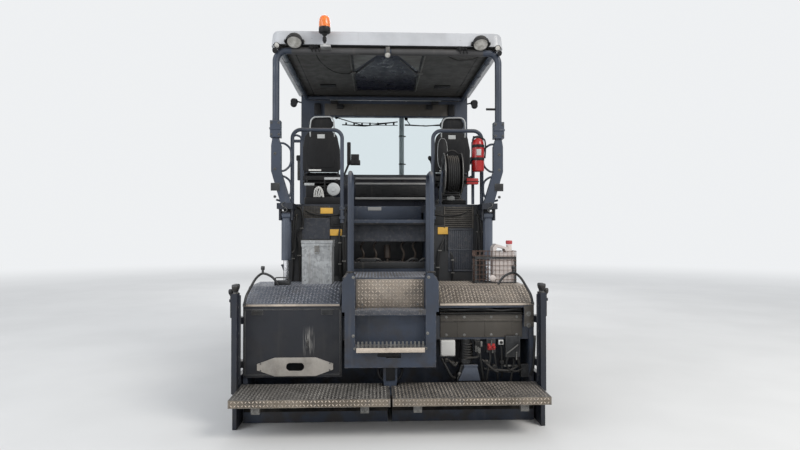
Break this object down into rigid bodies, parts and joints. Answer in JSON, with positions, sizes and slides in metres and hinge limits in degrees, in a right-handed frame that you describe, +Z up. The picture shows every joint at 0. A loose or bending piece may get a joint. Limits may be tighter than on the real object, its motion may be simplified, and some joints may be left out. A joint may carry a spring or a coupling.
{
  "type": "tracked asphalt paver",
  "caption": "Tracked asphalt paver with folding hopper wings, conveyors and augers, a roofed platform and a tow-arm screed whose side extensions slide out.",
  "frame": {"origin": "on the ground, at the middle of the machine's overall length and width", "axes": "+Y is the way it paves, towards the hopper; +X is its right side; +Z is up"},
  "size_m": [3.22, 6.3999, 3.84],
  "materials": {
    "frame": "slate blue paint, satin, worn",
    "panel": "near-black blue paint, satin",
    "alloy": "worn chequer plate",
    "steel": "dark, oily",
    "rubber": "matt",
    "white": "GRP gel coat, satin",
    "lining": "moulded, matt",
    "chrome": "hard chrome",
    "glass": "clear",
    "orange": "tinted lens",
    "red": "gloss",
    "galv": "light grey, satin",
    "blue": "blue-grey paint, satin",
    "worn": "worn bright by the mix",
    "engine": "grey paint",
    "seat": "black vinyl, padded",
    "can": "translucent white"
  },
  "bodies": {
    "tractor": {"chassis": "frame", "chassis_fittings": "frame", "left_track": "rubber", "right_track": "rubber", "track_frames": "frame", "track_wheels": "steel", "conveyor_chains": "worn", "rear_body": "frame", "cabinets": "panel", "platform": "panel", "engine": "engine", "engine_bay": "frame", "control_desk": "panel", "seats": "seat", "guard_hoops": "frame", "roof_frame": "frame", "roof_lining": "lining", "roof_shell": "white", "windshield": "glass", "work_lamps": "steel", "beacon": "orange", "extinguisher": "red", "exhaust": "galv", "auger_carrier": "frame", "push_beam": "frame"},
    "wing_left": {"hopper_wing_left": "frame"},
    "wing_right": {"hopper_wing_right": "frame"},
    "apron": {"hopper_apron": "frame"},
    "push_roller_left": {"push_roller_left": "steel"},
    "push_roller_right": {"push_roller_right": "steel"},
    "auger_left": {"auger_left": "worn"},
    "auger_right": {"auger_right": "worn"},
    "hood": {"engine_hood": "frame"},
    "door_left": {"side_door_left": "frame"},
    "door_right": {"side_door_right": "frame"},
    "hose_reel": {"hose_reel": "steel"},
    "screed": {"tow_arms": "frame", "lift_brackets": "frame", "basic_screed": "frame", "stair_unit": "frame", "handrails": "frame"},
    "extension_left": {"extension_left": "frame", "left_cover": "panel", "end_gate_left": "panel", "footboard_left": "alloy", "grip_plate": "alloy", "toolbox": "galv"},
    "extension_right": {"extension_right": "frame", "end_gate_right": "panel", "footboard_right": "alloy", "bay_gear": "steel", "jerrycan": "can", "can_basket": "steel"},
    "toolbox_lid": {"toolbox_lid": "galv"},
    "lift_barrels": {"lift_barrels": "blue"},
    "lift_rods": {"lift_rods": "chrome"},
    "wing_barrel_left": {"wing_barrel_left": "frame"},
    "wing_barrel_right": {"wing_barrel_right": "frame"},
    "wing_rod_left": {"wing_rod_left": "chrome"},
    "wing_rod_right": {"wing_rod_right": "chrome"}
  },
  "joints": [
    {"name": "hopper_wing_left", "type": "hinge", "parent": "tractor", "child": "wing_left", "pos_m": [-0.67, 0, 0.735], "axis": [0, 1, 0], "range_deg": [0, 50]},
    {"name": "hopper_wing_right", "type": "hinge", "parent": "tractor", "child": "wing_right", "pos_m": [0.67, 0, 0.735], "axis": [0, -1, 0], "range_deg": [0, 50]},
    {"name": "hopper_apron", "type": "hinge", "parent": "tractor", "child": "apron", "pos_m": [0, 2.97, 0.65], "axis": [1, 0, 0], "range_deg": [0, 32]},
    {"name": "push_roller_left", "type": "hinge", "parent": "tractor", "child": "push_roller_left", "pos_m": [-0.69, 3.125, 0.52], "axis": [1, 0, 0], "continuous": true},
    {"name": "push_roller_right", "type": "hinge", "parent": "tractor", "child": "push_roller_right", "pos_m": [0.69, 3.125, 0.52], "axis": [1, 0, 0], "continuous": true},
    {"name": "auger_left", "type": "hinge", "parent": "tractor", "child": "auger_left", "pos_m": [-0.6, -1.64, 0.4], "axis": [1, 0, 0], "continuous": true},
    {"name": "auger_right", "type": "hinge", "parent": "tractor", "child": "auger_right", "pos_m": [0.6, -1.64, 0.4], "axis": [1, 0, 0], "continuous": true},
    {"name": "engine_hood", "type": "hinge", "parent": "tractor", "child": "hood", "pos_m": [0, 1.305, 2.08], "axis": [1, 0, 0], "range_deg": [-60, 0]},
    {"name": "side_door_left", "type": "hinge", "parent": "tractor", "child": "door_left", "pos_m": [-1.12, 0.44, 1.5], "axis": [0, 0, 1], "range_deg": [0, 100]},
    {"name": "side_door_right", "type": "hinge", "parent": "tractor", "child": "door_right", "pos_m": [1.12, 0.44, 1.5], "axis": [0, 0, -1], "range_deg": [0, 100]},
    {"name": "hose_reel", "type": "hinge", "parent": "tractor", "child": "hose_reel", "pos_m": [0.68, -1.7, 2.275], "axis": [1, 0, 0], "continuous": true},
    {"name": "screed_lift", "type": "hinge", "parent": "tractor", "child": "screed", "pos_m": [0, 0.9, 0.56], "axis": [-1, 0, 0], "range_deg": [0, 7]},
    {"name": "extension_left_slide", "type": "slide", "parent": "screed", "child": "extension_left", "axis": [-1, 0, 0], "range_m": [0, 1.2]},
    {"name": "extension_right_slide", "type": "slide", "parent": "screed", "child": "extension_right", "axis": [1, 0, 0], "range_m": [0, 1.2]},
    {"name": "toolbox_lid", "type": "hinge", "parent": "extension_left", "child": "toolbox_lid", "pos_m": [-0.6875, -1.928, 1.56], "axis": [-1, 0, 0], "range_deg": [0, 100]},
    {"name": "lift_barrel", "type": "hinge", "parent": "tractor", "child": "lift_barrels", "pos_m": [0, -1.78, 1.83], "axis": [1, 0, 0], "range_deg": [0, 2.64]},
    {"name": "lift_rod", "type": "slide", "parent": "lift_barrels", "child": "lift_rods", "axis": [0, 0, 1], "range_m": [0, 0.32471]},
    {"name": "wing_barrel_left", "type": "hinge", "parent": "tractor", "child": "wing_barrel_left", "pos_m": [-0.735, 2.2, 0.35], "axis": [0, 1, 0], "range_deg": [0, 29.89]},
    {"name": "wing_barrel_right", "type": "hinge", "parent": "tractor", "child": "wing_barrel_right", "pos_m": [0.735, 2.2, 0.35], "axis": [0, -1, 0], "range_deg": [0, 29.89]},
    {"name": "wing_rod_left", "type": "slide", "parent": "wing_barrel_left", "child": "wing_rod_left", "axis": [-0.7319, 0, 0.6814], "range_m": [0, 0.22289]},
    {"name": "wing_rod_right", "type": "slide", "parent": "wing_barrel_right", "child": "wing_rod_right", "axis": [0.7319, 0, 0.6814], "range_m": [0, 0.22289]}
  ],
  "couplings": [
    {"joint": "lift_barrel", "follows": "screed_lift", "ratio": 0.37656},
    {"joint": "lift_rod", "follows": "screed_lift", "m_per_rad": 2.6576},
    {"joint": "wing_barrel_left", "follows": "hopper_wing_left", "ratio": 0.59772},
    {"joint": "wing_barrel_right", "follows": "hopper_wing_right", "ratio": 0.59772},
    {"joint": "wing_rod_left", "follows": "hopper_wing_left", "m_per_rad": 0.25539},
    {"joint": "wing_rod_right", "follows": "hopper_wing_right", "m_per_rad": 0.25539}
  ]
}
